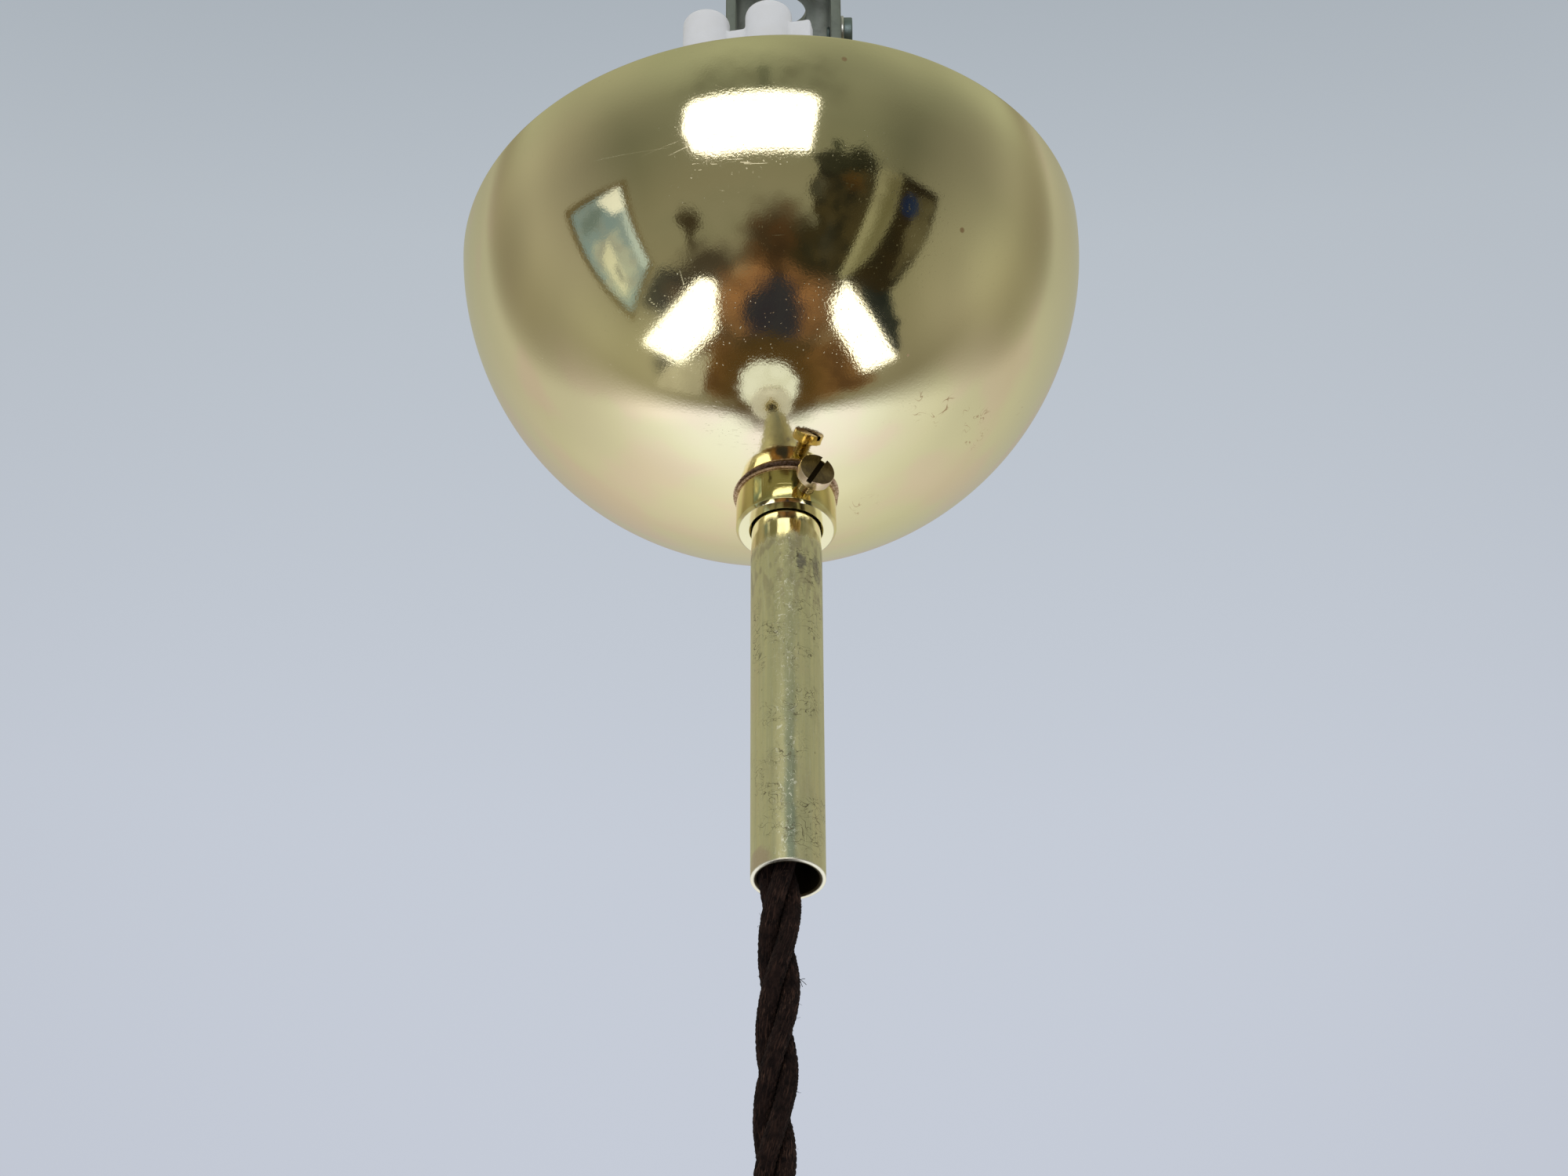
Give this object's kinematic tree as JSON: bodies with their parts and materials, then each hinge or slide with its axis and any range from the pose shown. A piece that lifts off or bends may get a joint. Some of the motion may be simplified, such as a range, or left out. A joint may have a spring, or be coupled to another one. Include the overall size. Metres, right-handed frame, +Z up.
{
  "type": "pendant light suspension with lampholder",
  "caption": "Ceiling pendant: strap hanger, tube stem, dome canopy on a sliding clamp collar, twisted cloth cord and a porcelain lampholder for a screw-in lamp.",
  "frame": {"origin": "centre of the hook hole, at half the thickness of the stirrup's crown", "axes": "+Z up along the stem, -Y towards the viewer of the picture, +X to that viewer's right"},
  "size_m": [0.11, 0.11, 0.334],
  "materials": {
    "polished_brass": "polished and lacquered, with fine scratches",
    "aged_brass": "dull, lengthwise streaks, grey-green in the middle",
    "turned_brass": "turned, satin",
    "screw_brass": "tarnished",
    "zinc_steel": "zinc plated, dull",
    "dark_steel": "dull",
    "tinned": "tinned",
    "spring_steel": "plain",
    "white_block": "moulded, half gloss",
    "glazed_porcelain": "clear glaze over cream porcelain",
    "plain_porcelain": "unglazed",
    "cord_braid": "dark brown cotton braid",
    "core_rubber": "matt",
    "copper": "bare strands"
  },
  "bodies": {
    "stem": {"stem": "aged_brass", "hanger_stirrup": "zinc_steel", "earth_screw": "dark_steel", "earth_tag": "tinned", "stem_nut": "turned_brass", "cord_clamp": "turned_brass", "cord_clamp_screws": "screw_brass", "terminal_block": "white_block", "terminal_sleeves": "turned_brass", "terminal_screws": "dark_steel", "live_lead": "cord_braid", "neutral_lead": "cord_braid", "earth_lead": "cord_braid", "lead_ends": "copper", "stem_cord": "cord_braid", "cord": "cord_braid", "holder_grip": "turned_brass", "grip_screw": "screw_brass", "cap_plate": "turned_brass", "plate_screw": "screw_brass", "holder_cap": "glazed_porcelain", "insert_screws": "dark_steel", "holder_insert": "plain_porcelain", "contact_strips": "turned_brass", "holder_terminals": "turned_brass", "holder_terminal_screws": "dark_steel", "contact_rivets": "turned_brass", "contact_spring": "spring_steel", "screw_shell": "turned_brass", "holder_leads": "core_rubber", "holder_lead_ends": "copper"},
    "collar": {"collar": "polished_brass"},
    "clamp_screw": {"clamp_screw": "screw_brass"},
    "washer": {"seat_washer": "polished_brass"},
    "canopy": {"canopy": "polished_brass"},
    "centre_contact": {"centre_contact": "turned_brass"},
    "skirt": {"holder_skirt": "glazed_porcelain"},
    "upper_ring": {"upper_shade_ring": "turned_brass"},
    "lower_ring": {"lower_shade_ring": "turned_brass"}
  },
  "joints": [
    {"name": "collar_slide", "type": "slide", "parent": "stem", "child": "collar", "axis": [0, 0, 1], "range_m": [-0.07, 0.066]},
    {"name": "clamp_screw_turn", "type": "hinge", "parent": "collar", "child": "clamp_screw", "pos_m": [0, 0, -0.123], "axis": [0.3907, -0.9205, 0], "range_deg": [0, 1080]},
    {"name": "canopy_spin", "type": "hinge", "parent": "collar", "child": "washer", "pos_m": [0, 0, -0.119], "axis": [0, 0, 1], "continuous": true},
    {"name": "canopy_tilt", "type": "hinge", "parent": "washer", "child": "canopy", "pos_m": [0, 0, -0.11862], "axis": [0, 1, 0], "range_deg": [0, 5]},
    {"name": "contact_press", "type": "slide", "parent": "stem", "child": "centre_contact", "axis": [0, 0, 1], "range_m": [0, 0.0011], "stiffness_N_per_m": 2000, "deforming": ["contact_spring"]},
    {"name": "skirt_unscrew", "type": "slide", "parent": "stem", "child": "skirt", "axis": [0, 0, -1], "range_m": [0, 0.009]},
    {"name": "upper_ring_run", "type": "slide", "parent": "skirt", "child": "upper_ring", "axis": [0, 0, -1], "range_m": [-0.0012, 0.0009]},
    {"name": "lower_ring_run", "type": "slide", "parent": "skirt", "child": "lower_ring", "axis": [0, 0, -1], "range_m": [-0.0009, 0.008]}
  ]
}
